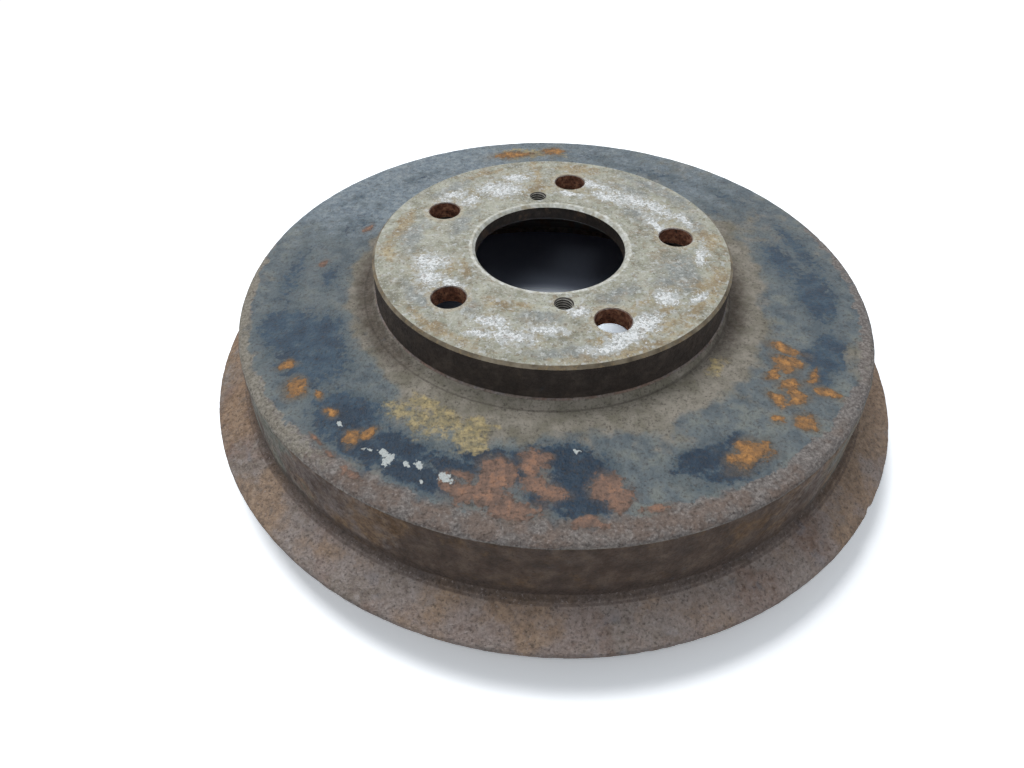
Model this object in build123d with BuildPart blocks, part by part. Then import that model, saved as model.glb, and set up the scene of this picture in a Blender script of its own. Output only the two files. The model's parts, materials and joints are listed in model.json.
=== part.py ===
"""Rear brake drum: one grey iron casting, turned inside, on the hub face and in the bore.

The drum stands on its open end. The origin is the centre of that open end and +Z points
along the spin axis to the hub face that the wheel bolts against. All sizes in millimetres.
"""
import os
from math import radians, tan

from build123d import *

# ---- driving dimensions ----------------------------------------------------------------
overall_height = 76.0         # open end to hub face

# hub plate, the part clamped between the axle flange and the wheel
hub_face_diameter = 158.6
hub_thickness = 9.0
hub_edge_chamfer = 1.2
bore_diameter = 67.1          # pilots on the axle flange
bore_chamfer = 1.3
seat_diameter = 139.0         # turned seat inside, against the axle flange
seat_depth = 0.8              # how far the seat is turned into the cast inner face

# holes in the hub plate
stud_count = 5
stud_circle_diameter = 114.3
stud_hole_diameter = 14.6
stud_hole_chamfer = 0.4
jack_count = 2
jack_circle_diameter = 84.6
jack_thread_diameter = 8.0    # M8 x 1.25, pushes a stuck drum off its flange
jack_thread_pitch = 1.25

# hat between the hub plate and the web
hat_height = 18.5             # hub face above the web
hat_wall = 6.4
hat_draft = 2.0               # degrees
hat_base_chamfer = 3.0        # short ledge where the hat meets the web
hat_roof_fillet = 3.0         # inside, beside the turned seat
hat_mouth_radius = 5.0        # inside, where the hat opens from the web

# web and friction ring
friction_diameter = 254.0
web_thickness = 7.6
ring_wall = 14.3              # friction surface to outside, at the web
ring_draft = 3.3              # degrees
ring_corner_radius = 3.5
web_inner_fillet = 3.0
undercut_depth = 1.0          # run-out for the turning tool at the web end
undercut_width = 4.5

# brim around the outside, with the bare lip of the ring below it
brim_width = 17.6             # how far the brim stands out from the lip
brim_edge_height = 14.6       # underside of the brim's edge above the open end
brim_edge_thickness = 4.6
brim_edge_radius = 1.8
brim_root_height = 27.6       # where its top would meet the ring's outside
brim_root_thickness = 7.0
brim_top_fillet = 1.5
brim_under_fillet = 4.0
lip_wall = 13.5               # the lip runs inside the backing plate's channel
lip_edge_chamfer = 1.5
mouth_relief = 2.5            # the open end is cut back this far, clear of the shoes
mouth_depth = 3.0

# ---- heights and radii worked out from them --------------------------------------------
web_top = overall_height - hat_height
web_bottom = web_top - web_thickness
hub_bottom = overall_height - hub_thickness
brim_edge_top = brim_edge_height + brim_edge_thickness
brim_under_height = brim_root_height - brim_root_thickness

bore_radius = bore_diameter / 2
hub_face_radius = hub_face_diameter / 2
hat_base_radius = hub_face_radius + hat_height * tan(radians(hat_draft))
hat_inner_top_radius = hub_face_radius - hat_wall
hat_inner_base_radius = hat_base_radius - hat_wall
seat_radius = seat_diameter / 2
friction_radius = friction_diameter / 2
undercut_radius = friction_radius + undercut_depth
undercut_start = web_bottom - undercut_width
ring_top_radius = friction_radius + ring_wall
ring_root_radius = ring_top_radius + (web_top - brim_root_height) * tan(radians(ring_draft))
mouth_radius = friction_radius + mouth_relief
lip_radius = mouth_radius + lip_wall
brim_radius = lip_radius + brim_width
jack_drill_diameter = jack_thread_diameter - jack_thread_pitch
jack_chamfer = (jack_thread_diameter - jack_drill_diameter) / 2

# ---- named corners of the half section, as (radius, height) ------------------------------
hub_edge = (hub_face_radius, overall_height)
hat_foot = (hat_base_radius, web_top)
ring_shoulder = (ring_top_radius, web_top)
brim_root = (ring_root_radius, brim_root_height)
brim_upper_edge = (brim_radius, brim_edge_top)
brim_lower_edge = (brim_radius, brim_edge_height)
brim_under_root = (lip_radius, brim_under_height)
lip_edge = (lip_radius, 0)
web_inner_corner = (undercut_radius, web_bottom)
hat_mouth = (hat_inner_base_radius, web_bottom)
hat_roof = (hat_inner_top_radius, hub_bottom)

outer_corners = [
    (bore_radius, overall_height),
    hub_edge,
    hat_foot,
    ring_shoulder,
    brim_root,
    brim_upper_edge,
    brim_lower_edge,
    brim_under_root,
    lip_edge,
]
inner_corners = [
    (mouth_radius, 0),
    (mouth_radius, mouth_depth),
    (friction_radius, mouth_depth + mouth_relief),
    (friction_radius, undercut_start),
    (undercut_radius, undercut_start + undercut_depth),
    web_inner_corner,
    hat_mouth,
    hat_roof,
    (seat_radius, hub_bottom),
    (seat_radius, hub_bottom + seat_depth),
    (bore_radius, hub_bottom + seat_depth),
]


def corner(section, place):
    # the sketch vertex that stands at a named corner
    return section.vertices().sort_by_distance(Vector(*place))[0]


def rim_edges(part, radius, height):
    # the round edges of this radius that lie at this height
    rings = part.edges().filter_by(GeomType.CIRCLE)
    rings = rings.filter_by(lambda edge: abs(edge.radius - radius) < 0.001)
    return rings.filter_by(lambda edge: abs(edge.arc_center.Z - height) < 0.001)


with BuildPart() as brake_drum:
    # the casting: its half section turned once round the spin axis
    with BuildSketch(Plane.XZ) as section:
        with BuildLine():
            Polyline(*outer_corners, *inner_corners, close=True)
        make_face()
        fillet(corner(section, ring_shoulder), ring_corner_radius)
        fillet(corner(section, brim_root), brim_top_fillet)
        fillet(corner(section, brim_upper_edge), brim_edge_radius)
        fillet(corner(section, brim_lower_edge), brim_edge_radius)
        fillet(corner(section, brim_under_root), brim_under_fillet)
        fillet(corner(section, web_inner_corner), web_inner_fillet)
        fillet(corner(section, hat_mouth), hat_mouth_radius)
        fillet(corner(section, hat_roof), hat_roof_fillet)
        chamfer(corner(section, hub_edge), hub_edge_chamfer)
        chamfer(corner(section, hat_foot), hat_base_chamfer)
        chamfer(corner(section, lip_edge), lip_edge_chamfer)
        for bore_end in (overall_height, hub_bottom + seat_depth):
            chamfer(corner(section, (bore_radius, bore_end)), bore_chamfer)
    revolve(axis=Axis.Z)

    # wheel studs pass through these, one of them on +X
    with Locations(Plane.XY.offset(overall_height)):
        with PolarLocations(stud_circle_diameter / 2, stud_count):
            Hole(stud_hole_diameter / 2)
    for face_height in (overall_height, hub_bottom + seat_depth):
        chamfer(rim_edges(brake_drum, stud_hole_diameter / 2, face_height), stud_hole_chamfer)

    # tapped holes for jacking screws, on +Y and -Y
    with Locations(Plane.XY.offset(overall_height)):
        with PolarLocations(jack_circle_diameter / 2, jack_count, start_angle=90):
            Hole(jack_drill_diameter / 2)
    for face_height in (overall_height, hub_bottom + seat_depth):
        chamfer(rim_edges(brake_drum, jack_drill_diameter / 2, face_height), jack_chamfer)

brake_drum.part.label = "brake_drum"

os.makedirs("parts", exist_ok=True)
export_step(brake_drum.part, "parts/brake_drum.step")
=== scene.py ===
# Brake drum: the looks of a used cast drum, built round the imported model.
import json
import math

import bpy
import numpy as np
from mathutils import Matrix, Vector, noise


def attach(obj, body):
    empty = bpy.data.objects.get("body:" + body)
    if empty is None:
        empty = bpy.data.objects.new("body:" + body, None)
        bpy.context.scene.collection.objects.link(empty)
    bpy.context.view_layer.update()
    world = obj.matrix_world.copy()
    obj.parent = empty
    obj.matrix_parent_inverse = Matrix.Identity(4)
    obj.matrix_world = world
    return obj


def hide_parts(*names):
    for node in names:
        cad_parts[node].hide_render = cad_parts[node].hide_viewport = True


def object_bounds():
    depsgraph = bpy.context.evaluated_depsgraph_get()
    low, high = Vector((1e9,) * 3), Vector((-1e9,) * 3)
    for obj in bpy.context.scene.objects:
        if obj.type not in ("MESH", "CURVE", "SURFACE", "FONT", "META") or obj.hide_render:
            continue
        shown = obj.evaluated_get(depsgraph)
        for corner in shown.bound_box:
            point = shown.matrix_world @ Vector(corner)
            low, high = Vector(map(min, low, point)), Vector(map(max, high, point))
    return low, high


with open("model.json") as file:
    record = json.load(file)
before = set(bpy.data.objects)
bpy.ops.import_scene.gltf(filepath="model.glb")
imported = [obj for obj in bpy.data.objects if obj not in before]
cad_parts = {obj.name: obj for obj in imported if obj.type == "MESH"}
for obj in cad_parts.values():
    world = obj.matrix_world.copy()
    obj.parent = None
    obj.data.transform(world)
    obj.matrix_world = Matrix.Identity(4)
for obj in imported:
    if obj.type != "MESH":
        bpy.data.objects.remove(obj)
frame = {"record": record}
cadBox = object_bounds()
print("frame loaded")

mm = 0.001
mounts = {mount["name"]: mount for mount in frame["record"]["mounts"]}


def linear(hexColour):
    # sRGB hex to the linear colour that a shader socket takes
    parts = [int(hexColour[i:i + 2], 16) / 255 for i in (1, 3, 5)]
    return tuple(p / 12.92 if p <= 0.04045 else ((p + 0.055) / 1.055) ** 2.4 for p in parts) + (1.0,)


def addNode(tree, kind, settings=None, links=None):
    # settings name a property or an input socket, links join an input to another node's output
    node = tree.nodes.new(kind)
    for name, value in (settings or {}).items():
        if name == "stops":
            ramp = node.color_ramp.elements
            while len(ramp) < len(value):
                ramp.new(0.5)
            for stop, (place, colour) in zip(ramp, value):
                stop.position = place
                stop.color = linear(colour)
        elif isinstance(name, str) and hasattr(node, name):
            setattr(node, name, value)
        else:
            node.inputs[name].default_value = value
    for name, source in (links or {}).items():
        tree.links.new(source, node.inputs[name])
    return node


# camera
cameraView = {
    "place": (-0.04151, -0.24673, 0.24174),
    "lookAt": (-0.03330, -0.08480, 0.07600),
    "roll": -1.615,              # degrees, the camera held slightly off level
    "lens": 22.944,              # mm on a 36 mm wide sensor
    "shiftX": 0.0225,
}


def buildCamera(style):
    camera = bpy.data.cameras.new("camera")
    camera.sensor_fit = "HORIZONTAL"
    camera.sensor_width = 36
    camera.lens = style["lens"]
    camera.shift_x = style["shiftX"]
    camera.clip_start = 0.01
    camera.clip_end = 50
    holder = bpy.data.objects.new("camera", camera)
    bpy.context.scene.collection.objects.link(holder)
    aim = Vector(style["lookAt"]) - Vector(style["place"])
    turn = aim.to_track_quat("-Z", "Y").to_matrix().to_4x4()
    roll = Matrix.Rotation(math.radians(style["roll"]), 4, "Z")
    holder.matrix_world = Matrix.Translation(style["place"]) @ turn @ roll
    bpy.context.scene.camera = holder


buildCamera(cameraView)

# floor and light
studio = {
    "floorHalf": 4.0,            # metres
    "floorLit": "#b9bcc0",       # what the floor gives back to the drum
    # what it gives back to the camera: past white in the open, so that the shadow draws in close as on
    # a bright tile, with a painted pool of light where light falls straight down the bore, and painted
    # shade inside the drum
    "floorOpen": (1.60, 1.64, 1.68),
    "floorPaintedBoreLight": (3.6, 3.95, 4.3),
    "floorPaintedShadeInside": (0.42, 0.48, 0.62),
    "boreLight": (0.050, 0.074),         # metres from the axis over which the painted pool of light ends
    "lipBand": (0.1355, 0.1375),         # metres from the axis, hidden under the drum's lip, where the painted shade inside the drum meets the open floor
    "fade": (0.35, 1.1),         # metres from the axis over which the floor turns into the white backdrop
    "worldLight": 0.30,
    "worldTint": "#eef4fb",
    "lamps": {                   # place in metres, side in metres, watts
        "overhead": ((-0.60, 0.95, 2.5), 1.15, 40.0),
        "front": ((-0.445, -1.22, 2.25), 0.8, 11.5),
    },
}


def seenShare(tree):
    # 1 for the rays that show a surface, straight, mirrored or through glass, and 0 for those that light
    path = addNode(tree, "ShaderNodeLightPath")
    seen = addNode(tree, "ShaderNodeMath", {"operation": "MAXIMUM"},
                   {0: path.outputs["Is Camera Ray"], 1: path.outputs["Is Glossy Ray"]})
    seenToo = addNode(tree, "ShaderNodeMath", {"operation": "MAXIMUM"},
                      {0: seen.outputs[0], 1: path.outputs["Is Transmission Ray"]})
    return seenToo.outputs[0]


def buildFloor(style):
    half = style["floorHalf"]
    mesh = bpy.data.meshes.new("floor")
    corners = [(-half, -half, 0), (half, -half, 0), (half, half, 0), (-half, half, 0)]
    mesh.from_pydata(corners, [], [(0, 1, 2, 3)])
    floor = bpy.data.objects.new("floor", mesh)
    bpy.context.scene.collection.objects.link(floor)

    painted = bpy.data.materials.new("pale_floor")
    painted.use_nodes = True
    mesh.materials.append(painted)
    tree = painted.node_tree
    shader = tree.nodes["Principled BSDF"]
    shader.inputs["Roughness"].default_value = 0.9
    shader.inputs["Specular IOR Level"].default_value = 0.0
    seen = seenShare(tree)
    where = addNode(tree, "ShaderNodeTexCoord").outputs["Object"]
    away = addNode(tree, "ShaderNodeVectorMath", {"operation": "LENGTH"}, {0: where}).outputs["Value"]

    start, end = style["boreLight"]
    pastBore = addNode(tree, "ShaderNodeMapRange",
                       {"interpolation_type": "SMOOTHSTEP", "From Min": start, "From Max": end},
                       {"Value": away}).outputs[0]
    start, end = style["lipBand"]
    pastLip = addNode(tree, "ShaderNodeMapRange", {"From Min": start, "From Max": end},
                      {"Value": away}).outputs[0]
    # a painted pool of light below the bore, fading into painted shade under the drum
    inside = addNode(tree, "ShaderNodeMix", {"data_type": "RGBA", 6: (*style["floorPaintedBoreLight"], 1),
                                             7: (*style["floorPaintedShadeInside"], 1)}, {0: pastBore}).outputs[2]
    shown = addNode(tree, "ShaderNodeMix", {"data_type": "RGBA", 7: (*style["floorOpen"], 1)},
                    {0: pastLip, 6: inside}).outputs[2]
    colour = addNode(tree, "ShaderNodeMix", {"data_type": "RGBA", 6: linear(style["floorLit"])},
                     {0: seen, 7: shown}).outputs[2]
    tree.links.new(colour, shader.inputs["Base Color"])

    start, end = style["fade"]
    fade = addNode(tree, "ShaderNodeMapRange",
                   {"interpolation_type": "SMOOTHSTEP", "From Min": start, "From Max": end},
                   {"Value": away}).outputs[0]
    share = addNode(tree, "ShaderNodeMath", {"operation": "MULTIPLY"}, {0: fade, 1: seen}).outputs[0]
    white = addNode(tree, "ShaderNodeEmission").outputs[0]
    both = addNode(tree, "ShaderNodeMixShader", {}, {0: share, 1: shader.outputs[0], 2: white}).outputs[0]
    tree.links.new(both, tree.nodes["Material Output"].inputs["Surface"])


def buildWorld(style):
    world = bpy.data.worlds.new("studio")
    world.use_nodes = True
    bpy.context.scene.world = world
    tree = world.node_tree
    seen = seenShare(tree)
    tint = addNode(tree, "ShaderNodeMix",
                   {"data_type": "RGBA", 6: linear(style["worldTint"]), 7: (1, 1, 1, 1)}, {0: seen})
    strength = addNode(tree, "ShaderNodeMix", {"data_type": "FLOAT", 2: style["worldLight"], 3: 1.0},
                       {0: seen})
    tree.links.new(tint.outputs[2], tree.nodes["Background"].inputs["Color"])
    tree.links.new(strength.outputs[0], tree.nodes["Background"].inputs["Strength"])


def hangLamps(lamps):
    for name, (place, side, power) in lamps.items():
        lamp = bpy.data.lights.new(name, "AREA")
        lamp.shape = "SQUARE"
        lamp.size = side
        lamp.energy = power
        holder = bpy.data.objects.new(name, lamp)
        bpy.context.scene.collection.objects.link(holder)
        aim = (-Vector(place)).to_track_quat("-Z", "Y").to_matrix().to_4x4()
        holder.matrix_world = Matrix.Translation(place) @ aim


buildFloor(studio)
buildWorld(studio)
hangLamps(studio["lamps"])
bpy.context.scene.view_settings.view_transform = "Standard"
print("camera and studio ready")

# the drum's sizes in mm: those that the frame gives, then the rest of its section
drum = {
    "height": cadBox[1].z / mm,
    "brimRadius": cadBox[1].x / mm,
    "boreRadius": mounts["centre_bore"]["dims"]["r_mm"],
    "seatHeight": mounts["flange_seat"]["pos_m"][2] / mm,
    "studCircle": mounts["wheel_studs"]["dims"]["pcd_mm"] / 2,
    "studCount": mounts["wheel_studs"]["dims"]["count"],
    "studRadius": mounts["wheel_studs"]["dims"]["hole_r_mm"],
    "frictionRadius": mounts["friction_surface"]["dims"]["r_mm"],
    "boreChamfer": 1.3,
    "studChamfer": 0.4,
    "hubRadius": 79.3,
    "hubChamfer": 1.2,
    "hubUnder": 67.0,
    "seatRadius": 69.5,
    "hatFootRadius": 79.95,
    "hatFootChamfer": 3.0,
    "hatRoofRadius": 72.9,
    "hatRoofRound": 3.0,
    "hatMouthRadius": 73.55,
    "hatMouthRound": 5.0,
    "webTop": 57.5,
    "webUnder": 49.9,
    "webInnerRound": 3.0,
    "ringTopRadius": 141.3,
    "ringShoulderRound": 3.5,
    "ringRootRadius": 143.02,
    "brimRootHeight": 27.6,
    "brimRootRound": 1.5,
    "brimTop": 19.2,
    "brimBottom": 14.6,
    "brimEdgeRound": 1.8,
    "brimUnderHeight": 20.6,
    "brimUnderRound": 4.0,
    "lipRadius": 143.0,
    "lipChamfer": 1.5,
    "mouthRadius": 129.5,
    "mouthDepth": 3.0,
    "mouthSlopeEnd": 5.5,
    "undercutRadius": 128.0,
    "undercutStart": 45.4,
    "undercutSlope": 1.0,
    "threadPitch": 1.25,
    "threadRadius": 4.05,
    "threadCrest": 3.4,
    "threadMouth": 0.65,         # depth of the countersink at each end
    "stepsOutside": 504,         # round the drum, 2 mm apart at the brim, and a third as many inside
    "stepsStud": 48,
    "stepsThread": 32,
}


def studPlaces(d):
    # centres of the stud holes, the first on +X
    turns = [2 * math.pi * k / d["studCount"] for k in range(d["studCount"])]
    return [(d["studCircle"] * math.cos(turn), d["studCircle"] * math.sin(turn)) for turn in turns]


def tapPlaces():
    # centres of the tapped holes
    holes = [mounts[name]["pos_m"] for name in ("jack_thread_a", "jack_thread_b")]
    return [(hole[0] / mm, hole[1] / mm) for hole in holes]


def sectionCorners(d):
    # radius, height, how the corner is finished, its size, spacing of points on the stretch after it
    top, seat, under = d["height"], d["seatHeight"], d["webUnder"]
    bore, friction, undercut = d["boreRadius"], d["frictionRadius"], d["undercutRadius"]
    return [
        (bore, top, "chamfer", d["boreChamfer"], 1.5),
        (d["hubRadius"], top, "chamfer", d["hubChamfer"], 1.4),
        (d["hatFootRadius"], d["webTop"], "chamfer", d["hatFootChamfer"], 1.45),
        (d["ringTopRadius"], d["webTop"], "round", d["ringShoulderRound"], 1.35),
        (d["ringRootRadius"], d["brimRootHeight"], "round", d["brimRootRound"], 1.2),
        (d["brimRadius"], d["brimTop"], "round", d["brimEdgeRound"], 1.2),
        (d["brimRadius"], d["brimBottom"], "round", d["brimEdgeRound"], 2.2),
        (d["lipRadius"], d["brimUnderHeight"], "round", d["brimUnderRound"], 3.0),
        (d["lipRadius"], 0.0, "chamfer", d["lipChamfer"], 6.0),
        (d["mouthRadius"], 0.0, "sharp", 0.0, 3.0),
        (d["mouthRadius"], d["mouthDepth"], "sharp", 0.0, 3.0),
        (friction, d["mouthSlopeEnd"], "sharp", 0.0, 3.0),
        (friction, d["undercutStart"], "sharp", 0.0, 3.0),
        (undercut, d["undercutStart"] + d["undercutSlope"], "sharp", 0.0, 3.0),
        (undercut, under, "round", d["webInnerRound"], 3.2),
        (d["hatMouthRadius"], under, "round", d["hatMouthRound"], 3.0),
        (d["hatRoofRadius"], d["hubUnder"], "round", d["hatRoofRound"], 3.0),
        (d["seatRadius"], d["hubUnder"], "sharp", 0.0, 3.0),
        (d["seatRadius"], seat, "sharp", 0.0, 3.2),
        (bore, seat, "chamfer", d["boreChamfer"], 1.2),
    ]


def sectionPath(corners):
    # rounds or cuts each corner, then divides the stretches between them
    count = len(corners)
    ends = []
    for i, (r, z, finish, size, spacing) in enumerate(corners):
        here = np.array((r, z))
        before = np.array(corners[i - 1][:2]) - here
        after = np.array(corners[(i + 1) % count][:2]) - here
        before /= np.linalg.norm(before)
        after /= np.linalg.norm(after)
        if finish == "sharp":
            ends.append([here])
        elif finish == "chamfer":
            start, end = here + before * size, here + after * size
            steps = max(1, round(np.linalg.norm(end - start) / spacing))
            ends.append([start + (end - start) * k / steps for k in range(steps + 1)])
        else:
            half = math.acos(np.clip(np.dot(before, after), -1, 1)) / 2
            reach = size / math.tan(half)
            centre = here + (before + after) / np.linalg.norm(before + after) * size / math.sin(half)
            start, end = here + before * reach - centre, here + after * reach - centre
            sweep = math.pi - 2 * half
            steps = max(3, round(sweep * size / 0.75))     # points 0.75 mm apart round the arc
            arc = []
            for k in range(steps + 1):
                share = k / steps
                swung = start * math.sin((1 - share) * sweep) + end * math.sin(share * sweep)
                arc.append(centre + swung / math.sin(sweep))
            ends.append(arc)
    path = []
    for i, (r, z, finish, size, spacing) in enumerate(corners):
        path.extend(ends[i])
        start, end = ends[i][-1], ends[(i + 1) % count][0]
        steps = max(1, round(np.linalg.norm(end - start) / spacing))
        path.extend(start + (end - start) * k / steps for k in range(1, steps))
    return np.array(path)


def meshObject(name, points, faces):
    mesh = bpy.data.meshes.new(name)
    mesh.from_pydata([tuple(p) for p in points], [], faces)
    mesh.validate()
    piece = bpy.data.objects.new(name, mesh)
    bpy.context.scene.collection.objects.link(piece)
    return piece


def castBody(d):
    # fine rings on the outside, a third as many steps on the inside, joined at the lip and the bore
    path = sectionPath(sectionCorners(d))
    toLipEdge = np.hypot(path[:, 0] - (d["lipRadius"] - d["lipChamfer"]), path[:, 1])
    lipStart = int(np.argmin(toLipEdge)) + 1
    points, rings = [], []
    for i, (r, z) in enumerate(path):
        steps = d["stepsOutside"] if i <= lipStart else d["stepsOutside"] // 3
        turn = 2 * math.pi * np.arange(steps) / steps
        rings.append(range(len(points), len(points) + steps))
        points.extend(np.column_stack((r * np.cos(turn), r * np.sin(turn), np.full(steps, z))) * mm)
    faces = []
    for i in range(len(path)):
        a, b = rings[i], rings[(i + 1) % len(path)]
        if len(a) == len(b):
            n = len(a)
            faces.extend((a[k], b[k], b[(k + 1) % n], a[(k + 1) % n]) for k in range(n))
            continue
        many, few = (a, b) if len(a) > len(b) else (b, a)
        for k in range(len(few)):
            p = [many[(3 * k + s) % len(many)] for s in range(4)]
            start, end = few[k], few[(k + 1) % len(few)]
            fan = [(p[0], start, p[1]), (p[1], start, end, p[2]), (p[2], end, p[3])]
            faces.extend(fan if many is a else [face[::-1] for face in fan])
    return meshObject("used_brake_drum", points, faces)


def cutter(name, place, levels, steps):
    # a closed turned solid: levels are (height, radius or a function of the angle)
    points = []
    for height, radius in levels:
        for k in range(steps):
            turn = 2 * math.pi * k / steps
            r = radius(turn) if callable(radius) else radius
            x, y = place[0] + r * math.cos(turn), place[1] + r * math.sin(turn)
            points.append((x * mm, y * mm, height * mm))
    faces = [tuple(range(steps))[::-1], tuple(range(len(points) - steps, len(points)))]
    for i in range(len(levels) - 1):
        a, b = i * steps, (i + 1) * steps
        faces.extend((a + k, a + (k + 1) % steps, b + (k + 1) % steps, b + k) for k in range(steps))
    return meshObject(name, points, faces)


def studCutter(name, place, d):
    # the hole with its chamfers, which run on 1 mm past the faces
    low, high, r, chamfer = d["seatHeight"], d["height"], d["studRadius"], d["studChamfer"]
    walls = [(z, r) for z in np.linspace(low + chamfer, high - chamfer, 7)]
    levels = [(low - 1, r + chamfer + 1)] + walls + [(high + 1, r + chamfer + 1)]
    return cutter(name, place, levels, d["stepsStud"])


def threadCutter(name, place, d):
    # a helix of one groove, flat in its root for a fifth of the pitch
    low, high, pitch = d["seatHeight"], d["height"], d["threadPitch"]
    root, crest, mouth = d["threadRadius"], d["threadCrest"], d["threadMouth"]

    def groove(height):
        def radius(turn):
            phase = (height / pitch - turn / (2 * math.pi)) % 1.0
            depth = min(1.0, max(0.0, 1.25 - 2.5 * abs(phase - 0.5)))
            countersink = max(height - (high - mouth), low + mouth - height, 0.0)
            return crest + max((root - crest) * depth, countersink)
        return radius

    levels = [(z, groove(z)) for z in np.arange(low - 1, high + 1.01, pitch / 8)]
    return cutter(name, place, levels, d["stepsThread"])


def cutHoles(body, d):
    cutters = [studCutter(f"stud_{i}", place, d) for i, place in enumerate(studPlaces(d))]
    cutters += [threadCutter(f"thread_{i}", place, d) for i, place in enumerate(tapPlaces())]
    for tool in cutters:
        cut = body.modifiers.new(tool.name, "BOOLEAN")
        cut.operation = "DIFFERENCE"
        cut.solver = "MANIFOLD"
        cut.object = tool
    ready = body.evaluated_get(bpy.context.evaluated_depsgraph_get())
    mesh = bpy.data.meshes.new_from_object(ready)
    body.modifiers.clear()
    body.data = mesh
    for tool in cutters:
        bpy.data.objects.remove(tool)
    return body


def smooth(low, high, value):
    # 0 below low, 1 above high, eased between
    t = np.clip((value - low) / (high - low), 0, 1)
    return t * t * (3 - 2 * t)


def fractal(points, size, octaves, seed):
    # layered noise of about -1 to 1 at each point, its largest lumps size mm apart
    shift = Vector((seed * 17.3, seed * -9.1, seed * 5.7))
    return np.array([noise.fractal(Vector(p) / size + shift, 1.0, 2.0, octaves) for p in points])


def markField(radius, angle, places):
    # 1 in the middle of a mark, 0.5 at its edge, 0 well outside; the highest of all marks
    field = np.zeros(len(radius))
    for markRadius, markAngle, along, across in places:
        turn = (angle - markAngle + 180) % 360 - 180
        arc = np.radians(turn) * markRadius
        far = np.hypot((radius - markRadius) / (across / 2), arc / (along / 2))
        field = np.maximum(field, 1 - far / 2)
    return np.clip(field, 0, 1)


# where the paint, rust and deposits are: radius, angle in degrees, length round the drum, width, in mm
marks = {
    "navy": [
        (113, -160, 46, 28), (121, -168, 26, 22), (104, -163, 26, 14), (118, -138, 30, 22),
        (124, -131, 26, 14), (117, -125, 26, 12), (125, -119, 34, 10), (116, -114, 24, 9),
        (109, -109, 22, 8), (112, -103, 10, 14), (106, -95, 22, 13), (112, -92, 22, 18), (120, -94, 16, 22),
        (127, -92, 18, 10), (124, -99, 8, 10), (118, -70, 24, 11), (126, -66, 30, 9), (116, -62, 9, 5),
        (124, -30, 26, 11), (118, -33, 12, 10), (123, -38, 10, 8), (120, -12, 36, 16), (112, 4, 36, 16),
        (125, 12, 70, 14), (109, 150, 50, 20), (121, 168, 60, 14), (117, 120, 44, 14), (118, 50, 90, 20),
        (123, 30, 70, 16), (108, 28, 26, 10), (124, 72, 40, 10), (103, 172, 24, 12), (126, 140, 40, 8),
    ],
    "redRust": [
        (113, -107, 11, 8), (117, -106, 13, 10), (124, -107, 12, 10), (129, -103, 16, 7),
        (126, -111, 10, 8), (119, -112, 7, 4), (123, -114.5, 4, 8), (108, -100, 8, 9), (112, -101.5, 6, 5),
        (118, -100, 9, 7), (121, -97, 10, 6), (120, -88, 11, 11), (125, -86.5, 9, 8), (131, -81.5, 9, 3.4),
        (133, -92, 14, 2.8), (135, -128, 11, 2.6), (132, -138, 7, 2.6), (133, -134, 5, 2.2),
        (105, -97, 4, 3), (101, 149, 7, 4), (109, 168, 5, 4),
    ],
    "orangeRust": [
        (125.5, -150.5, 9, 8), (124.5, -157, 6, 6), (121, -140.5, 7, 4), (122.5, -133, 6, 8),
        (118, -131.5, 4, 6), (119, -146, 6, 3), (125, -62, 17, 7), (121, -62, 8, 8), (122, -66, 5, 4),
        (108, -32.5, 5, 13), (110, -37, 9, 9), (107, -41, 8, 3), (114, -42.5, 8, 8), (118, -44.5, 5, 9),
        (114, -48, 5, 8), (121, -46, 5, 5), (127.5, -41, 5, 9), (128, -49.5, 8, 7), (120, -52, 6, 5),
        (121, -38, 10, 3), (127, 81, 12, 8), (124, 92, 22, 7),
    ],
    "ochre": [
        (103, -130, 12, 10), (102, -125, 16, 13), (98, -121, 14, 10), (102, -115, 14, 9),
        (105, -113, 12, 7), (96, -113, 12, 9), (94, -127, 18, 6), (125, 88, 34, 12), (88, -48, 14, 6),
    ],
    "speck": [
        (121.5, -126.4, 6, 3), (123.5, -125, 3.5, 5), (121, -120, 3, 3), (122, -114.6, 6, 3),
        (121.5, -137, 2.2, 1.6), (122.8, -122, 3, 3), (103.6, -92, 3.5, 1.6), (124.5, -129.5, 2, 2.5),
        (126, -118, 1.6, 1.6),
    ],
}

# deposits on the turned hub face
hubMarks = {
    "crust": [
        (54, 129, 9, 8), (52, 108, 16, 12), (58, 114, 14, 8), (54, -171, 12, 14), (57, -160, 14, 9),
        (52, -150, 14, 7), (64, -111, 18, 8), (59, -121, 14, 6), (68, -121, 9, 4), (65, -63, 16, 9),
        (62, -70, 12, 7), (68, -72, 20, 8), (59, -46, 10, 10), (71, -80, 18, 5), (56, 38, 20, 9),
        (50, 48, 18, 6), (60, 24, 16, 8), (52, 12, 20, 5), (63, 132, 14, 6), (48, -84, 8, 5),
        (58, -98, 12, 5), (66, 12, 12, 5), (67, -14, 14, 5), (62, 98, 14, 8), (70, -40, 12, 4),
        (46, 70, 12, 4), (58, 60, 18, 6),
    ],
    "tan": [
        (48, -122, 16, 7), (44, -110, 12, 5), (41, -160, 12, 6), (46, -166, 12, 5), (71, -3, 18, 10),
        (74, -28, 30, 8), (68, -33, 14, 8), (73, -45, 16, 6), (71, 71, 26, 9), (60, 88, 6, 34),
        (49, 90, 14, 9), (70, -58, 14, 6), (74, -135, 40, 6), (76, -75, 60, 5), (64, -52, 12, 6),
        (72, 110, 24, 5), (70, 160, 30, 6), (55, -56, 10, 5), (66, -80, 10, 4), (72, 178, 20, 7),
    ],
    "grey": [
        (58, -30, 30, 14), (64, -60, 14, 8), (72, -88, 30, 8), (46, -60, 20, 8), (62, 168, 24, 10),
        (66, -150, 22, 9), (50, 24, 20, 8), (62, 45, 26, 8), (56, -136, 14, 8), (68, 8, 20, 8),
        (44, 150, 20, 6), (52, -102, 16, 8), (73, 34, 40, 7), (68, 128, 20, 8),
    ],
}
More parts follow.
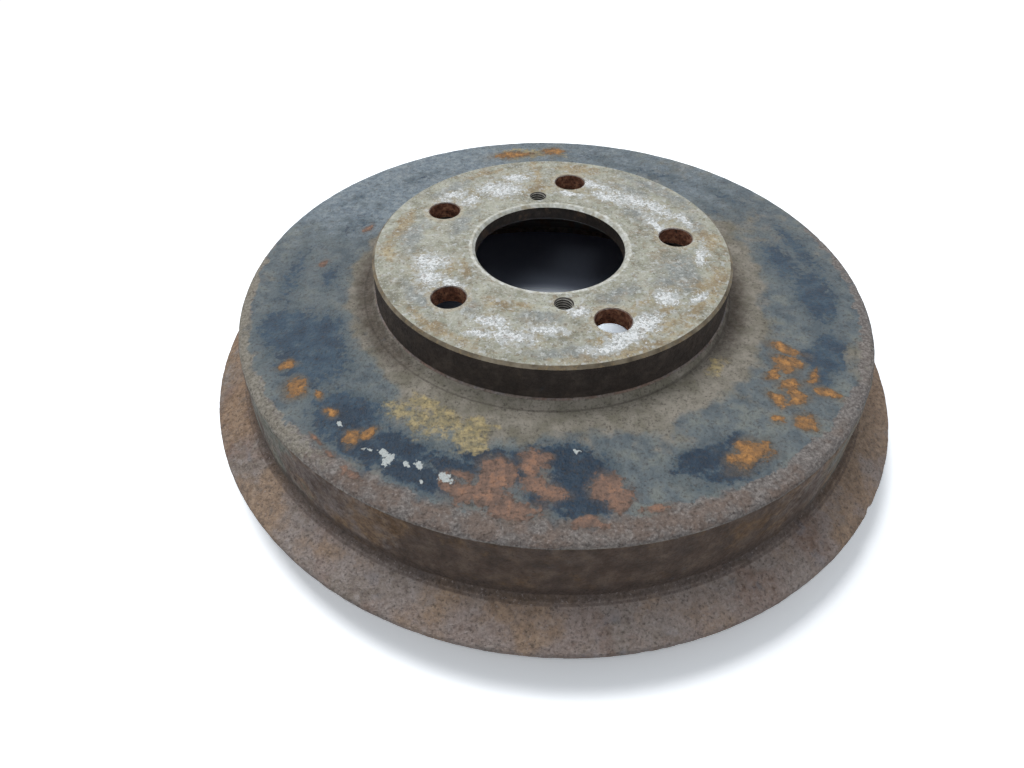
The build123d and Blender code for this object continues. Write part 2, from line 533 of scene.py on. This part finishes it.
# what rust and wear do to the cast skin, in mm, with angles in degrees
skin = {
    "waveSize": 9.0,             # a noise that pulls the outlines of the marks about, and how far
    "waveReach": 2.0,
    "fraySize": 3.2,             # a finer one on top of it
    "frayReach": 0.9,
    "lumpSize": 7.0,
    "gritSize": 2.6,
    "patchSize": 34.0,           # broad changes of tone
    "wornFrom": 132.0,           # radius where the band of worn paint begins, at the front
    "wornFromLeft": 4.5,         # how much farther out it begins on the other sides
    "wornFromRear": 8.0,
    "wornFromRight": 3.0,
    "lumpHeight": 0.10,          # the rust's lumps and grit all over the cast skin
    "gritHeight": 0.05,
    "sideHeight": 0.12,          # what the ring's side and the brim have on top of that
    "brimHeight": 0.15,
    "rustHeight": 0.16,          # how far a red or orange patch stands up
    "wearDepth": 0.10,           # how deep the worn band lies, and its pits below that
    "pitDepth": 0.30,
    "edgeDepth": 0.12,           # how far the brim's edge is worn back, and its nibbles beyond that
    "edgeNibble": 0.35,
    "chipAngle": -44,            # a chip in the brim's edge
    "chipLength": 6,
    "chipDepth": 0.6,
    "footLine": 83.3,            # radius of a fine step round the hat's foot, which is off centre
    "footLineShift": 1.9,
    "footLineTowards": -165.0,
    "footLineDepth": 0.12,
    "rootLine": 146.0,           # radius of a fine step on the brim beside the ring
}


def sector(angle, towards, low, high):
    # 1 on the side of the drum that lies towards an angle, 0 away from it, eased between
    return smooth(low, high, np.cos(np.radians(angle - towards)))


def readMesh(mesh):
    # its points in mm, and its normals
    points = np.empty(len(mesh.vertices) * 3)
    normals = np.empty(len(mesh.vertices) * 3)
    mesh.vertices.foreach_get("co", points)
    mesh.vertices.foreach_get("normal", normals)
    return points.reshape(-1, 3) / mm, normals.reshape(-1, 3)


def describeSpots(points, style):
    # where each point is, where the marks see it after the noises have pulled it about, and its grain
    x, y, height = points.T
    radius = np.hypot(x, y)
    angle = np.degrees(np.arctan2(y, x))
    pulls = [style["waveReach"] * fractal(points, style["waveSize"], 3, seed)
             + style["frayReach"] * fractal(points, style["fraySize"], 2, seed + 5) for seed in (1, 2)]
    return {
        "x": x, "y": y, "height": height, "radius": radius, "angle": angle,
        "markRadius": radius + pulls[0],
        "markAngle": angle + np.degrees(pulls[1] / np.maximum(radius, 30)),
        "lumps": fractal(points, style["lumpSize"], 4, 3),
        "grit": fractal(points, style["gritSize"], 3, 4),
        "broad": fractal(points, style["patchSize"], 3, 5),
    }


def findAreas(spot, d, style):
    # how far each point belongs to each side of the drum and to each part of its skin
    radius, height, angle = spot["radius"], spot["height"], spot["angle"]
    top, web, root, hub = d["height"], d["webTop"], d["brimRootHeight"], d["hubRadius"]
    foot, rim = d["hatFootRadius"], d["brimRadius"]
    left = sector(angle, 180, 0.55, 0.88)
    right = sector(angle, 0, 0.3, 0.9)
    rear = sector(angle, 90, 0.0, 0.7)

    # the skin left as cast: hat, web, and the ring down to the bare foot of its lip
    onRing = radius > d["ringTopRadius"] - 2.3
    cast = ((radius > hub - 0.9) & (height > web - 3) & (height < top - 1.1)) | onRing
    cast &= height > d["lipChamfer"] + 0.1
    corner = smooth(web - 3.0, web - 1.6, height)
    fromFoot = smooth(foot + 0.25, foot + 1.25, radius)
    wornFrom = (style["wornFrom"] + style["wornFromLeft"] * left + style["wornFromRear"] * rear
                + style["wornFromRight"] * right)
    worn = smooth(wornFrom - 3.5, wornFrom + 2.5, radius - 2.4 * spot["lumps"])
    brim = (height < root + 0.5) & (radius > d["ringRootRadius"] - 0.6) & (height > d["brimBottom"] + 1)
    return {
        "left": left, "right": right, "rear": rear,
        "front": sector(angle, -90, -0.2, 0.9),
        "behind": sector(angle, 90, -0.15, 0.3),
        "rearLeft": sector(angle, 180, -0.1, 0.6) * (1 - 0.45 * left),
        "litFlank": 1 - sector(angle, -90, 0.78, 0.97),
        "cast": cast,
        "onHub": (height > top - 0.02) & (radius < hub),
        "onWeb": fromFoot * (height > web - 3.4) * cast * np.where(onRing, corner, 1.0),
        "wear": worn * corner * cast,
        "side": onRing * (1 - corner) * (height > root + 0.3) * cast,
        "brim": (brim & cast).astype(float),
        "brimEdge": smooth(rim - 4, rim - 0.5, radius),
        "wall": (height > web + 2.6) * (radius > hub - 0.1) * (height < top - 1.0),
    }


def carriedFields(spot, area, d, style):
    # what each point carries for the materials, 0 to 1 unless the name says line, turned or depth
    radius, height, angle, broad = spot["radius"], spot["height"], spot["angle"], spot["broad"]
    left, right, rear, front = area["left"], area["right"], area["rear"], area["front"]
    onWeb, onHub, wear, side, brim = area["onWeb"], area["onHub"], area["wear"], area["side"], area["brim"]
    web, root, litFlank = d["webTop"], d["brimRootHeight"], area["litFlank"]

    fields = {}
    for name, places in marks.items():
        fields[name] = markField(spot["markRadius"], spot["markAngle"], places) * (onWeb > 0.5)
    for name, places in hubMarks.items():
        fields[name] = markField(spot["markRadius"], spot["markAngle"], places) * onHub

    # paint on the web, thinner behind, and the band where it has worn away
    fields["navy"] *= 1 - 0.5 * area["behind"]
    fields["onWeb"] = onWeb
    fields["deepNavy"] = fields["navy"] * front ** 2
    paintFrom = smooth(88, 104, radius + 5 * broad + 4 * left)
    fields["slate"] = onWeb * paintFrom * (0.72 + 0.35 * broad + 0.15 * left)
    # paler blue paint at the rear of the web, lightened further as a painted sheen
    fields["rearPaint"] = onWeb * rear * smooth(86, 100, radius) * (0.55 + 0.45 * area["rearLeft"])
    fields["wear"] = wear * (1 - 0.55 * rear) * (1 - 0.3 * right)
    fields["beige"] = wear * left * (1 - rear)

    # tones of the ring's side and the brim, each strongest on its own sides of the drum; the ring's side is
    # made paler on its left, right and rear flanks as painted light
    # grey-green tone on the left, right and rear of the ring's side, partly painted light
    tealShare = left * (0.75 + 0.7 * broad) + right * 0.8 + 0.4 * rear
    dustShare = brim * (front + 0.4 * right) + side * litFlank
    fields["side"] = side
    fields["sideTeal"] = side * np.clip(tealShare, 0, 1)
    fields["amber"] = np.clip(side * (0.45 + 0.55 * litFlank) * (0.6 + 0.8 * broad), 0, 1)
    fields["brimAmber"] = np.clip(brim * (0.42 + 1.0 * broad + 0.4 * right + 0.2 * left), 0, 1)
    fields["dust"] = np.clip(dustShare * (0.8 + 0.6 * broad), 0, 1)
    fields["rough"] = np.clip(side * 0.6 + brim + wear, 0, 1)

    # dirt and painted shade in the corners, and the hat's dark wall, partly painted shade
    brimCorner = brim * smooth(147.5, 143.5, radius) + side * smooth(root + 8, root + 1, height)
    hatCorner = onWeb * 0.75 * smooth(98, 84, radius) * np.clip(left + right, 0, 1)
    fields["rootDirt"] = brimCorner + hatCorner
    # the hat's wall, darkened for dirt and for painted shade
    fields["wall"] = area["wall"] * smooth(web + 2.4, web + 3.6, height)

    # lines and rings, in mm from where they run
    offCentre = style["footLineShift"] * np.cos(np.radians(angle - style["footLineTowards"]))
    fields["footLine"] = np.where(onWeb > 0, radius - style["footLine"] - offCentre, 9.0)
    fields["rootLine"] = np.where(brim > 0, radius - style["rootLine"], 9.0)
    fields["turned"] = np.where(np.abs(radius - d["frictionRadius"]) < 2, height, radius)

    # round the bore and the holes
    toStud = np.min([np.hypot(spot["x"] - x, spot["y"] - y) for x, y in studPlaces(d)], axis=0)
    fields["rim"] = onHub * smooth(d["boreRadius"] + 3.4, d["boreRadius"] + 2.0, radius)
    fields["holeRim"] = onHub * smooth(5.0, 0.5, toStud - d["studRadius"] + 1.2 * spot["lumps"])
    toTap = [np.hypot(spot["x"] - x, spot["y"] - y) for x, y in tapPlaces()]
    fields["threadDepth"] = np.min(toTap, axis=0)
    return fields


def skinRelief(spot, area, fields, d, style):
    # how far, in mm, rust has lifted each point or wear has lowered it
    lumps, grit, cast = spot["lumps"], spot["grit"], area["cast"]
    pits = smooth(0.15, 0.6, lumps + 0.5 * grit)
    relief = cast * (style["lumpHeight"] * lumps + style["gritHeight"] * grit)
    relief -= area["wear"] * (style["wearDepth"] + style["pitDepth"] * pits)
    relief += area["side"] * style["sideHeight"] * lumps
    relief += area["brim"] * style["brimHeight"] * (lumps + 0.6 * grit)
    patches = np.maximum(fields["redRust"], fields["orangeRust"])
    relief += style["rustHeight"] * smooth(0.46, 0.58, patches + 0.06 * grit)
    relief -= style["footLineDepth"] * smooth(1.0, 0.2, np.abs(fields["footLine"]))

    # the brim's edge is nibbled all round, and chipped in one place
    nibble = smooth(-0.1, 0.8, lumps + 0.5 * grit + 0.3 * spot["broad"])
    relief -= area["brimEdge"] * (style["edgeDepth"] + style["edgeNibble"] * nibble) * cast
    place = (d["brimRadius"], style["chipAngle"], style["chipLength"], style["chipLength"])
    chip = smooth(0.45, 0.8, markField(spot["radius"], spot["angle"], [place]))
    relief -= style["chipDepth"] * chip * cast * (spot["radius"] > d["brimRadius"] - 3)
    return relief


def weather(body, d, style):
    # moves the cast skin in and out by its rust, and writes what each point carries for the materials
    mesh = body.data
    points, normals = readMesh(mesh)
    spot = describeSpots(points, style)
    area = findAreas(spot, d, style)
    fields = carriedFields(spot, area, d, style)
    moved = points + normals * skinRelief(spot, area, fields, d, style)[:, None]

    # no lump reaches past the clean casting's own box
    farOut = np.hypot(moved[:, 0], moved[:, 1])
    moved[:, :2] *= np.minimum(1.0, (d["brimRadius"] - 0.02) / np.maximum(farOut, 1))[:, None]
    moved[:, 2] = np.clip(moved[:, 2], 0, d["height"])
    mesh.vertices.foreach_set("co", (moved * mm).ravel())
    for name, values in fields.items():
        layer = mesh.attributes.new(name, "FLOAT", "POINT")
        layer.data.foreach_set("value", np.asarray(values, np.float32))
    mesh.update()


def surfaceName(place, d, studs, taps):
    # the surface that a place in mm lies on, found from the drum's section and its holes
    x, y, z = place
    r = math.hypot(x, y)
    top, seat, hub, bore = d["height"], d["seatHeight"], d["hubRadius"], d["boreRadius"]
    if seat - 0.1 < z < top - 0.02:
        if any(math.hypot(x - hx, y - hy) < d["studRadius"] + 0.05 for hx, hy in studs):
            return "holeWall"
        if any(math.hypot(x - hx, y - hy) < d["threadRadius"] + 0.6 for hx, hy in taps):
            return "thread"
    if z > top - 0.02 and r < hub:
        return "hubFace"
    if top - d["hubChamfer"] - 0.05 < z < top and hub - d["hubChamfer"] - 0.1 < r < hub + 0.2:
        return "hubEdge"
    if seat < z < top and r < bore + d["boreChamfer"] + 0.1:
        return "boreEdge" if z > top - d["boreChamfer"] else "bore"
    onSeat = abs(z - seat) < 0.05 and r < d["seatRadius"]
    if onSeat or (abs(r - d["frictionRadius"]) < 0.2 and z < d["webUnder"]):
        return "friction"
    return "cast"


def giveFinishes(body, d, finishes):
    # each face takes the finish of the surface that it lies on
    mesh = body.data
    mesh.materials.clear()
    for finish in finishes.values():
        mesh.materials.append(finish)
    names = list(finishes)
    studs, taps = studPlaces(d), tapPlaces()
    for face in mesh.polygons:
        face.material_index = names.index(surfaceName(face.center / mm, d, studs, taps))


# the noises that break the layers up: mm between lumps, how many finer octaves, how strong those are
noiseSizes = {
    "broad": (24, 3, 0.62),
    "middle": (8, 3, 0.62),
    "small": (2.8, 3, 0.62),
    "fine": (1.1, 2, 0.62),
    "rings": (1.6, 3, 0.7),      # left by turning and by the shoes, so they follow the turned field
}


def layeredFinish(name, mottle, colours, roughness, layers, lumps, grains, rings=0.0, specular=0.3):
    # a ground colour, then each layer over it where its field, made ragged by noise, says so;
    # lumps, grains and rings are heights in mm
    finish = bpy.data.materials.new(name)
    finish.use_nodes = True
    tree = finish.node_tree
    shader = tree.nodes["Principled BSDF"]
    shader.inputs["Specular IOR Level"].default_value = specular
    where = addNode(tree, "ShaderNodeTexCoord").outputs["Object"]

    # each noise gives three unlike patterns, shared by all the layers
    used = {"small", "fine", mottle[0]}
    used.update(layer[use][0] for layer in layers for use in ("ragged", "mottle"))
    if rings:
        used.add("rings")
    noises = {}
    for size in sorted(used):
        apart, detail, rough = noiseSizes[size]
        settings = {"Scale": 1 / (apart * mm), "Detail": detail, "Roughness": rough}
        links = {"Vector": where}
        if size == "rings":
            turned = addNode(tree, "ShaderNodeAttribute", {"attribute_name": "turned"}).outputs["Fac"]
            settings = {"noise_dimensions": "1D", "Scale": 1 / apart, "Detail": detail, "Roughness": rough}
            links = {"W": turned}
        cloud = addNode(tree, "ShaderNodeTexNoise", settings, links).outputs["Color"]
        noises[size] = addNode(tree, "ShaderNodeSeparateColor", {}, {"Color": cloud}).outputs

    size, pattern = mottle
    colour = addNode(tree, "ShaderNodeValToRGB", {"stops": colours}, {0: noises[size][pattern]}).outputs[0]
    low, high = roughness
    roughness = addNode(tree, "ShaderNodeMapRange",
                        {"From Min": 0.3, "From Max": 0.7, "To Min": low, "To Max": high},
                        {"Value": noises["small"][2]}).outputs[0]
    height = addNode(tree, "ShaderNodeMath", {"operation": "MULTIPLY", 1: lumps},
                     {0: noises["small"][0]}).outputs[0]
    for layer in layers:
        size, pattern, share = layer["ragged"]
        edgeLow, edgeHigh = layer["edge"]
        spread = noises[size][pattern]
        if layer["field"]:
            field = addNode(tree, "ShaderNodeAttribute", {"attribute_name": layer["field"]}).outputs["Fac"]
            if layer["line"]:
                field = addNode(tree, "ShaderNodeMath", {"operation": "ABSOLUTE"}, {0: field}).outputs[0]
            spread = addNode(tree, "ShaderNodeMath", {"operation": "MULTIPLY_ADD", 1: share},
                             {0: spread, 2: field}).outputs[0]
        mask = addNode(tree, "ShaderNodeMapRange",
                       {"interpolation_type": "SMOOTHSTEP", "From Min": edgeLow + share / 2,
                        "From Max": edgeHigh + share / 2, "To Min": 0.0, "To Max": layer["cover"]},
                       {"Value": spread}).outputs[0]
        size, pattern = layer["mottle"]
        shade = noises[size][pattern]
        if layer["core"]:
            shade = addNode(tree, "ShaderNodeMath", {"operation": "MULTIPLY_ADD", 1: layer["core"]},
                            {0: field, 2: shade}).outputs[0]
        tint = addNode(tree, "ShaderNodeValToRGB", {"stops": layer["colours"]}, {0: shade}).outputs[0]
        colour = addNode(tree, "ShaderNodeMix", {"data_type": "RGBA"},
                         {0: mask, 6: colour, 7: tint}).outputs[2]
        if layer["roughness"]:
            roughness = addNode(tree, "ShaderNodeMix", {"data_type": "FLOAT", 3: layer["roughness"]},
                                {0: mask, 2: roughness}).outputs[0]
        if layer["raised"]:
            height = addNode(tree, "ShaderNodeMath", {"operation": "MULTIPLY_ADD", 1: layer["raised"]},
                             {0: mask, 2: height}).outputs[0]
    if rings:
        height = addNode(tree, "ShaderNodeMath", {"operation": "MULTIPLY_ADD", 1: rings},
                         {0: noises["rings"][0], 2: height}).outputs[0]
    height = addNode(tree, "ShaderNodeMath", {"operation": "MULTIPLY_ADD", 1: grains},
                     {0: noises["fine"][0], 2: height}).outputs[0]
    bump = addNode(tree, "ShaderNodeBump", {"Strength": 1.0, "Distance": mm}, {"Height": height})
    tree.links.new(colour, shader.inputs["Base Color"])
    tree.links.new(roughness, shader.inputs["Roughness"])
    tree.links.new(bump.outputs[0], shader.inputs["Normal"])
    return finish


def over(field, edge, ragged, mottle, colours, cover=1.0, roughness=0.0, raised=0.0, core=0.0, line=False):
    # one layer: where it lies, how its edge breaks up, what mottles it, how it covers; raised in mm,
    # core shifts its colours in the middle of a mark
    return {"field": field, "edge": edge, "ragged": ragged, "mottle": mottle, "colours": colours,
            "cover": cover, "roughness": roughness, "raised": raised, "core": core, "line": line}


def scattered(edge, noise, mottle, colours, **rest):
    # one layer that lies wherever its own noise is high
    return over("", edge, (*noise, 0.0), mottle, colours, **rest)


# grey iron left as cast, rusted brown all over, with thin blue-black paint worn to slate on the web:
# a matte, gritty skin in which no two centimetres have the same tone
castIron = layeredFinish(
    "rusted_cast_iron_worn_paint", mottle=("small", 0), roughness=(0.75, 0.98), lumps=1.3, grains=0.7,
    colours=[(0.28, "#665b56"), (0.45, "#83786f"), (0.56, "#90867f"), (0.72, "#a89f9b")],
    layers=[
        # the bare casting
        scattered((0.44, 0.6), ("broad", 1), ("small", 1),
                  [(0.35, "#74594c"), (0.6, "#937667")], cover=0.55),
        scattered((0.5, 0.66), ("middle", 2), ("small", 2),
                  [(0.35, "#6f6f72"), (0.6, "#8c8a90")], cover=0.6),
        # the ring's side and the brim: dark brown, dusted, ambered, greened, paler on the flanks as painted
        # light
        over("side", (0.3, 0.7), ("fine", 2, 0.3), ("middle", 0),
             [(0.35, "#43362e"), (0.5, "#56473e"), (0.65, "#6d5d51")], cover=0.92),
        over("dust", (0.3, 0.9), ("small", 1, 1.0), ("fine", 0),
             [(0.35, "#8c817d"), (0.65, "#aba09b")], cover=0.7),
        over("brimAmber", (0.3, 0.9), ("middle", 2, 1.4), ("small", 1),
             [(0.35, "#7b654f"), (0.5, "#977d64"), (0.65, "#ae9378")], cover=0.7),
        over("amber", (0.3, 0.8), ("middle", 1, 1.4), ("small", 1),
             [(0.35, "#644d36"), (0.5, "#806447"), (0.65, "#9a7e5c")], cover=0.75),
        over("sideTeal", (0.35, 0.8), ("middle", 2, 1.2), ("small", 1),
             [(0.35, "#6f736a"), (0.5, "#848982"), (0.65, "#999a93")], cover=0.8),
        # the hat's wall, dark with dirt and painted shade
        over("wall", (0.4, 0.6), ("small", 1, 0.2), ("middle", 1),
             [(0.35, "#2a2421"), (0.5, "#352e2a"), (0.65, "#463e38")], cover=0.97),
        # the web: its ground, thin slate paint, paler blue paint behind with a painted sheen, dirt and
        # painted shade by the hat
        over("onWeb", (0.4, 0.6), ("small", 1, 0.2), ("middle", 1),
             [(0.35, "#7b776a"), (0.5, "#8b867b"), (0.65, "#9d978c")]),
        over("slate", (0.3, 0.72), ("middle", 0, 1.1), ("middle", 2),
             [(0.35, "#56626a"), (0.5, "#6b757a"), (0.65, "#7f8582")], cover=0.95, roughness=0.65),
        over("rearPaint", (0.3, 0.8), ("middle", 1, 0.8), ("small", 2),
             [(0.35, "#6d7b88"), (0.5, "#87959f"), (0.65, "#9da7ae")], cover=0.75, roughness=0.55),
        # dirt and painted shade at the brim's root and by the hat's foot
        over("rootDirt", (0.2, 0.9), ("small", 2, 0.6), ("fine", 0),
             [(0.35, "#3b312c"), (0.65, "#544842")], cover=0.75),
        # the band where paint and skin have worn off
        over("wear", (0.4, 0.6), ("small", 0, 1.2), ("fine", 1),
             [(0.32, "#6f6763"), (0.5, "#857e7a"), (0.66, "#9f9893")], cover=0.88, roughness=0.95,
             raised=-0.1),
        over("wear", (0.75, 1.2), ("middle", 2, 1.6), ("small", 1),
             [(0.35, "#655247"), (0.65, "#857063")], cover=0.6),
        over("beige", (0.35, 0.7), ("small", 2, 1.3), ("fine", 1),
             [(0.35, "#827d71"), (0.6, "#a19c90")], cover=0.8),
        # what is left of the blue-black paint
        over("navy", (0.22, 0.62), ("middle", 2, 1.5), ("middle", 1),
             [(0.35, "#3f505d"), (0.6, "#536169")], cover=0.75, roughness=0.6),
        over("navy", (0.42, 0.6), ("small", 1, 0.9), ("middle", 0),
             [(0.35, "#27394b"), (0.5, "#33485b"), (0.65, "#475b6a")], cover=0.92, roughness=0.55,
             raised=0.05),
        over("deepNavy", (0.48, 0.7), ("small", 1, 0.9), ("small", 0),
             [(0.35, "#1b2a3a"), (0.65, "#2a3c4e")], cover=0.8),
        # a thin ochre film
        over("ochre", (0.32, 0.8), ("small", 0, 1.6), ("small", 2),
             [(0.35, "#827b64"), (0.5, "#a69872"), (0.65, "#c5b182")], cover=0.85),
        # rust patches, each on a dull halo
        over("redRust", (0.05, 0.55), ("middle", 1, 0.9), ("fine", 0),
             [(0.35, "#5f564f"), (0.65, "#7c6c60")], cover=0.5),
        over("orangeRust", (0.05, 0.55), ("middle", 0, 0.9), ("fine", 1),
             [(0.35, "#615648"), (0.65, "#7d6c56")], cover=0.6),
        over("redRust", (0.38, 0.54), ("small", 2, 1.2), ("small", 0),
             [(0.6, "#6d5c54"), (0.84, "#907465"), (1.0, "#a98169")], cover=0.92, roughness=0.95,
             raised=0.12, core=0.45),
        over("orangeRust", (0.4, 0.55), ("small", 1, 1.0), ("small", 2),
             [(0.62, "#756250"), (0.84, "#a47b52"), (1.0, "#ca945a")], cover=0.95, roughness=0.95,
             raised=0.12, core=0.45),
        # white specks
        over("speck", (0.46, 0.54), ("fine", 0, 0.9), ("fine", 2),
             [(0.35, "#b3bcbc"), (0.6, "#d9dedc")], roughness=0.6, raised=0.05),
        # fine dark steps
        over("footLine", (0.7, 0.2), ("fine", 1, 0.15), ("small", 0),
             [(0.3, "#3d3833"), (0.7, "#4d4740")], cover=0.45, line=True),
        over("rootLine", (0.7, 0.2), ("fine", 2, 0.3), ("small", 0),
             [(0.3, "#453a36"), (0.7, "#584c47")], cover=0.5, line=True),
        # pale grit, then dark pits over everything
        over("rough", (1.24, 1.42), ("fine", 1, 2.0), ("small", 1),
             [(0.3, "#958a87"), (0.7, "#b1a7a6")], cover=0.5),
        scattered((0.48, 0.66), ("fine", 2), ("small", 1),
                  [(0.3, "#39332f"), (0.7, "#4c4641")], cover=0.3, raised=-0.15),
        scattered((0.6, 0.72), ("fine", 2), ("small", 1),
                  [(0.3, "#332d2a"), (0.7, "#463f3a")], cover=0.4, raised=-0.12),
    ])

# turned grey iron under white oxide and tan rust: pale, blotched, dull,
# with a faint sheen between the blotches
hubIron = layeredFinish(
    "oxidised_turned_iron", mottle=("middle", 0), roughness=(0.42, 0.7), specular=0.5, lumps=0.25,
    grains=0.16, rings=0.05,
    colours=[(0.32, "#757465"), (0.45, "#8f8f7e"), (0.56, "#a2a393"), (0.7, "#b9baaa")],
    layers=[
        # oxide film, and grey and tan blotches
        scattered((0.42, 0.6), ("small", 1), ("fine", 0),
                  [(0.35, "#a5a295"), (0.6, "#bdbcb1")], cover=0.6),
        over("grey", (0.2, 0.75), ("middle", 1, 1.4), ("small", 2),
             [(0.35, "#6c7273"), (0.5, "#838989"), (0.65, "#9a9e9c")], cover=0.8, roughness=0.45),
        over("tan", (0.28, 0.9), ("small", 2, 1.3), ("middle", 0),
             [(0.35, "#87724f"), (0.5, "#a18c69"), (0.65, "#bca880")], cover=0.72, roughness=0.8),
        scattered((0.54, 0.66), ("middle", 2), ("small", 0),
                  [(0.35, "#80725a"), (0.5, "#978972"), (0.65, "#ac9f88")], cover=0.4),
        over("holeRim", (0.35, 0.8), ("small", 2, 1.2), ("fine", 1),
             [(0.35, "#9c8b6f"), (0.6, "#c2baa4")], cover=0.6),
        # crusts of white oxide, each on a tan halo
        over("crust", (0.06, 0.55), ("middle", 1, 1.3), ("small", 2),
             [(0.35, "#94835f"), (0.65, "#b3a580")], cover=0.5),
        over("crust", (0.1, 0.75), ("small", 0, 2.0), ("small", 1),
             [(0.35, "#aab0b1"), (0.6, "#cbd0d1")], cover=0.8),
        over("crust", (0.55, 0.8), ("fine", 1, 2.6), ("fine", 2),
             [(0.32, "#d8dde0"), (0.56, "#fafcfc")], cover=0.97, roughness=0.9, raised=0.12),
        # white and dark flecks
        scattered((0.56, 0.66), ("small", 0), ("fine", 2),
                  [(0.35, "#b3b6b3"), (0.65, "#d6d9d8")], cover=0.6, raised=0.04),
        scattered((0.585, 0.66), ("fine", 0), ("small", 2),
                  [(0.35, "#c4c7c3"), (0.65, "#dfe2e0")], cover=0.5, raised=0.04),
        scattered((0.56, 0.66), ("small", 2), ("fine", 0),
                  [(0.35, "#6f5d48"), (0.65, "#8f7b5f")], cover=0.42),
        scattered((0.58, 0.68), ("fine", 2), ("small", 0),
                  [(0.3, "#544e45"), (0.7, "#6b6459")], cover=0.65, raised=-0.06),
        # the bright rim round the bore
        over("rim", (0.35, 0.6), ("small", 1, 0.7), ("small", 0),
             [(0.3, "#a29d88"), (0.5, "#c8c8bd"), (0.65, "#e6e8e4")], cover=0.88, roughness=0.4),
    ])

# the turned corner of the hub: handled bare, then browned
edgeIron = layeredFinish(
    "browned_turned_edge", mottle=("middle", 1), roughness=(0.5, 0.8), lumps=0.25, grains=0.16,
    colours=[(0.35, "#564e41"), (0.5, "#716756"), (0.65, "#8c8372")],
    layers=[
        scattered((0.5, 0.62), ("small", 1), ("fine", 0),
                  [(0.35, "#75644f"), (0.65, "#95825f")], cover=0.6),
    ])

# the bore's turned chamfer, rubbed bright by the axle's boss
brightIron = layeredFinish(
    "bright_turned_chamfer", mottle=("small", 0), roughness=(0.35, 0.55), specular=0.5, lumps=0.1,
    grains=0.08,
    colours=[(0.35, "#aaa899"), (0.5, "#c6c7be"), (0.65, "#e2e4df")],
    layers=[
        scattered((0.56, 0.66), ("middle", 1), ("fine", 0),
                  [(0.35, "#93866c"), (0.65, "#b1a487")], cover=0.7),
    ])

# the bore's wall: turned, then darkened by grease and rust
boreIron = layeredFinish(
    "greased_turned_bore", mottle=("small", 0), roughness=(0.45, 0.75), lumps=0.3, grains=0.16,
    colours=[(0.35, "#17120f"), (0.5, "#231c18"), (0.65, "#352b25")],
    layers=[
        scattered((0.56, 0.66), ("middle", 2), ("fine", 1),
                  [(0.35, "#4a3a2e"), (0.65, "#66503d")], cover=0.6),
    ])

# drilled stud holes, lined with thick red rust
holeRust = layeredFinish(
    "red_rust_in_drilled_hole", mottle=("small", 1), roughness=(0.8, 1.0), lumps=1.4, grains=0.5,
    colours=[(0.35, "#5b3b2c"), (0.5, "#845844"), (0.65, "#a97c61")],
    layers=[
        scattered((0.56, 0.66), ("fine", 0), ("small", 2),
                  [(0.35, "#2b1e18"), (0.65, "#3d2a21")], cover=0.8, raised=-0.2),
    ])

# tapped thread: steel-grey crests rubbed clean by the jacking bolt, black dirt down in the roots
threadIron = layeredFinish(
    "rubbed_tapped_thread", mottle=("small", 2), roughness=(0.4, 0.7), specular=0.5, lumps=0.1, grains=0.08,
    colours=[(0.35, "#97948a"), (0.5, "#b0ada3"), (0.65, "#c9c7be")],
    layers=[
        over("threadDepth", (3.52, 3.72), ("fine", 0, 0.1), ("small", 0),
             [(0.3, "#191412"), (0.7, "#2a221d")], cover=0.97),
    ])

# the friction band and the flange seat: ground flat by use, scored round the axis, with a film of rust
wornIron = layeredFinish(
    "scored_brake_band", mottle=("rings", 1), roughness=(0.35, 0.6), specular=0.5, lumps=0.2, grains=0.12,
    rings=0.35,
    colours=[(0.3, "#453e3a"), (0.5, "#5b5450"), (0.7, "#79726e")],
    layers=[
        scattered((0.46, 0.66), ("middle", 0), ("small", 1),
                  [(0.35, "#5a3f2e"), (0.65, "#7a5a42")], cover=0.6, roughness=0.85),
        scattered((0.56, 0.66), ("rings", 2), ("small", 2),
                  [(0.35, "#332b27"), (0.65, "#463d38")], cover=0.5),
    ])
print("finishes ready")

finishes = {
    "cast": castIron,
    "hubFace": hubIron,
    "hubEdge": edgeIron,
    "boreEdge": brightIron,
    "bore": boreIron,
    "holeWall": holeRust,
    "thread": threadIron,
    "friction": wornIron,
}
body = cutHoles(castBody(drum), drum)
triangles = sum(len(p.vertices) - 2 for p in body.data.polygons)
print("drum body cut,", len(body.data.vertices), "vertices,", triangles, "triangles")
body.data.shade_smooth()
body.data.set_sharp_from_angle(angle=math.radians(33))
giveFinishes(body, drum, finishes)
weather(body, drum, skin)
print("drum weathered")

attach(body, "root")
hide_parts("brake_drum")
